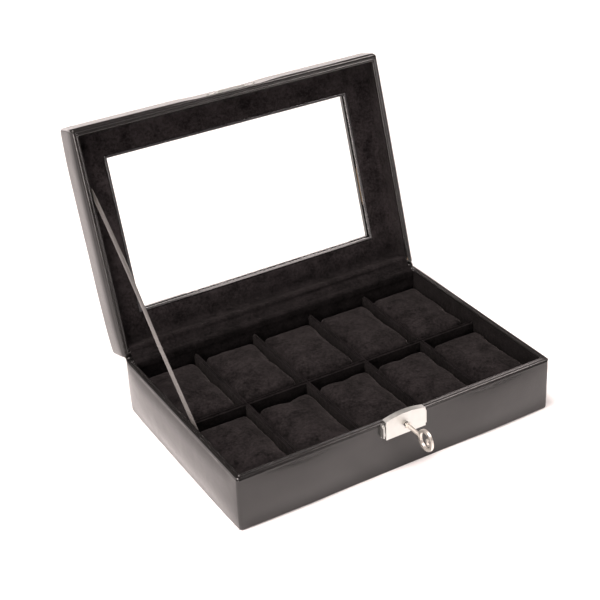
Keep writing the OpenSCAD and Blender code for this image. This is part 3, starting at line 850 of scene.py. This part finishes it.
def add_hinge_strip():
    """The leather hinge along the back, from the base's wall round the hinge line to the lid's."""
    base_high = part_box("base_leather")[1]
    lid_low, lid_high = shut_box("lid_leather")
    thin = 1.0 * MM
    back = base_high.y + thin / 2 + 0.1 * MM
    line = resampled([(back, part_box("hinge_leather")[0].z), (back, base_high.z - 1.5 * MM),
                      (HINGE.y + 0.2 * MM, HINGE.z - 0.2 * MM), opened(back + 0.1 * MM, lid_low.z + 3 * MM),
                      opened(back + 0.1 * MM, lid_high.z - 3 * MM)], 0.8 * MM)
    wide = base_high.x - 0.8 * MM
    piece = strip("hinge_leather_strip", line, thin, -wide, wide, 160, corner=base_high.x - 3 * MM)
    ripple(piece, 0.08 * MM, 20 * MM, 3)
    smooth(piece, 75)
    place(piece, None, "leather_black", "hinge_leather")
    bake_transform(piece)


def add_hinge_flap():
    """The velour flap inside, from the tray's back lining over both rims to the lid's."""
    base_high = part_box("base_leather")[1]
    lid_low, lid_high = shut_box("lid_leather")
    flap_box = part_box("hinge_velour")
    thin = 0.8 * MM
    tray_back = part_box("liner_back")[0].y
    lid_rim = lid_low.z + 2.4 * MM
    lid_inside = shut_box("lid_liner_back")[0].y
    above = base_high.z + 0.65 * MM
    line = resampled([(tray_back - 0.45 * MM, above - 7 * MM), (tray_back - 0.45 * MM, above - 1.2 * MM),
                      (tray_back + 0.8 * MM, above), (base_high.y - 4 * MM, above),
                      opened(lid_high.y - 2.0 * MM, lid_rim - 0.75 * MM),
                      opened(lid_inside + 0.8 * MM, lid_rim - 0.75 * MM),
                      opened(lid_inside - 0.45 * MM, lid_rim + 0.6 * MM),
                      opened(lid_inside - 0.45 * MM, lid_rim + 7 * MM)], 0.9 * MM)
    piece = strip("hinge_velour_flap", line, thin, flap_box[0].x, flap_box[1].x, 130, 0.5 * MM, 4)
    ripple(piece, 0.12 * MM, 8 * MM, 5)
    smooth(piece, 75)
    place(piece, None, "velour_black", "hinge_velour")
    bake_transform(piece)


def add_spring():
    """The leaf spring behind the lock's cover: its root on the plate, its tip bent forward towards the cover.
    """
    low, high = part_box("latch_spring")
    thin = 0.35 * MM
    root, tip = high.y - thin / 2, low.y + thin / 2 + 0.1 * MM
    knee, bend = low.z + 0.63 * (high.z - low.z), low.z + 0.37 * (high.z - low.z)
    line = resampled([(root, high.z), (root, knee), (root - 1.4 * MM, bend), (tip, low.z)], 0.5 * MM)
    piece = strip("latch_spring_leaf", line, thin, low.x, high.x, 4)
    smooth(piece, 40)
    place(piece, None, "spring_steel", "latch_spring")
    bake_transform(piece)


def add_ribbon():
    """A satin ribbon from the left wall of the tray to the left wall of the lid, drawn taut."""
    low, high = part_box("lid_ribbon")
    start = Vector((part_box("liner_left")[1].x + 0.35 * MM, low.y + 3.3 * MM, low.z + 3.8 * MM))
    end = Vector(((low.x + high.x) / 2, high.y - 3.8 * MM, high.z - 3.3 * MM))
    run = (end - start).normalized()
    width, thick = 10 * MM, 0.35 * MM
    across = run.cross(Vector((1, 0, 0))).normalized()
    rows, columns = 120, 8
    curl_from = 0.35  # share of the length where the ribbon is past the pillow beside it
    points, faces = [], []
    for face in (0.5, -0.5):
        for r in range(rows + 1):
            t = r / rows
            centre = start.lerp(end, t)
            free = math.sin(math.pi * t) ** 0.5
            gather = 1 - 0.22 * math.exp(-t / 0.02) - 0.22 * math.exp(-(1 - t) / 0.02) - 0.1 * free
            curl = 1.7 * MM * free * min(1, max(0, t - curl_from) / 0.3)
            for c in range(columns + 1):
                s = c / columns * 2 - 1
                wobble = 0.06 * MM * noise.noise(Vector((t * 16, s * 1.4, 2.0)))
                out = Vector((1, 0, 0)) * (face * thick + curl * s * s + wobble)
                points.append(centre + across * s * width / 2 * gather + out)
    per_face = (rows + 1) * (columns + 1)
    across_count = columns + 1
    for k in (0, 1):
        for r in range(rows):
            for c in range(columns):
                a = k * per_face + r * across_count + c
                quad = (a, a + 1, a + across_count + 1, a + across_count)
                faces.append(quad if k else quad[::-1])
    rim_loop = ([(r, 0) for r in range(rows)] + [(rows, c) for c in range(columns)]
                + [(r, columns) for r in range(rows, 0, -1)] + [(0, c) for c in range(columns, 0, -1)])
    for (r0, c0), (r1, c1) in zip(rim_loop, rim_loop[1:] + rim_loop[:1]):
        a, b = r0 * across_count + c0, r1 * across_count + c1
        faces.append((a, b, per_face + b, per_face + a))
    piece = mesh_object("lid_ribbon_satin", points, faces)
    outward(piece)
    smooth(piece, 60)
    place(piece, None, "ribbon_satin", "lid_ribbon")
    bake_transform(piece)


# ---------------------------------------------------------------- stage

def add_world():
    """A pale studio: a bright low backdrop behind the box, dim in front and overhead."""
    bright, dim, front = (3.8, 3.4, 3.3, 1), (0.12, 0.107, 0.104, 1), (0.16, 0.143, 0.139, 1)
    scene = bpy.context.scene
    scene.world = bpy.data.worlds.new("world")
    scene.world.use_nodes = True
    tree = scene.world.node_tree
    sky = tree.nodes["Background"]
    direction = tree.nodes.new("ShaderNodeTexCoord")
    split = tree.nodes.new("ShaderNodeSeparateXYZ")
    ramp = tree.nodes.new("ShaderNodeValToRGB")
    behind = tree.nodes.new("ShaderNodeMapRange")
    backdrop = tree.nodes.new("ShaderNodeMix")
    backdrop.data_type = "RGBA"
    tree.links.new(direction.outputs["Generated"], split.inputs[0])
    tree.links.new(split.outputs["Z"], ramp.inputs["Fac"])
    tree.links.new(split.outputs["Y"], behind.inputs["Value"])
    behind.inputs["From Min"].default_value = -0.1
    behind.inputs["From Max"].default_value = 0.5
    tree.links.new(behind.outputs["Result"], backdrop.inputs["Factor"])
    backdrop.inputs["A"].default_value = front
    tree.links.new(ramp.outputs["Color"], backdrop.inputs["B"])
    tree.links.new(backdrop.outputs["Result"], sky.inputs["Color"])
    elements = ramp.color_ramp.elements
    elements[0].position, elements[0].color = 0.10, bright
    elements[1].position, elements[1].color = 0.30, dim


def softbox(name, location, target, size, watts):
    """A warm rectangular lamp that faces the target."""
    data = bpy.data.lights.new(name, "AREA")
    data.shape = "RECTANGLE"
    data.size, data.size_y = size
    data.color = (1, 0.89, 0.86)
    data.energy = watts
    lamp = linked(name, data)
    lamp.location = location
    lamp.rotation_euler = (Vector(target) - Vector(location)).to_track_quat("-Z", "Y").to_euler()


def add_stage():
    """A pale paper floor, the studio round it, and four lamps."""
    floor = mesh_object("floor", [(-3, -0.95, 0), (3, -0.95, 0), (3, 4, 0), (-3, 4, 0)], [(0, 1, 2, 3)])
    paper = Nodes("floor_paper")
    paper.set(Base_Color=(0.9, 0.9, 0.9, 1), Roughness=0.9, Specular_IOR_Level=0.1)
    floor.data.materials.append(paper.material)
    add_world()
    view = bpy.context.scene.view_settings
    view.view_transform = "Standard"
    view.look = "None"
    softbox("overhead", (-0.8, 0.1, 2.4), (0, 0, 0), (1.2, 1.2), 115)
    softbox("right", (1.3, -0.5, 2.1), (0, 0, 0), (0.6, 0.6), 32)
    softbox("front_left", (-1.5, -1.8, 0.75), (0, 0, 0.1), (0.7, 0.9), 42)
    softbox("low_card", (0.95, -1.95, 0.27), (0, 0.1, 0.25), (0.45, 0.3), 3)


# ---------------------------------------------------------------- the whole box

def finish_cad_nodes():
    """Carried-over CAD nodes get the finish of their slot."""
    for name, node in frame["nodes"].items():
        node.data.materials.clear()
        node.data.materials.append(SLOT_MATERIALS[SLOT_OF[name]])


add_camera()
finish_cad_nodes()
base_wrap()
lid_wrap()
add_linings()
add_lid_linings()
add_lid_panel()
add_pillows()
add_hinge_strip()
add_hinge_flap()
add_spring()
add_ribbon()
for metal in ["latch_cover", "lock_plate", "keeper", "keeper_rivets", "pivot_pins", "key", "lock_cam"]:
    refined(metal, 0.22 * MM)
refined("window_trim", 0.5 * MM)
refined("bottom_cover", 0.3 * MM)
add_stage()
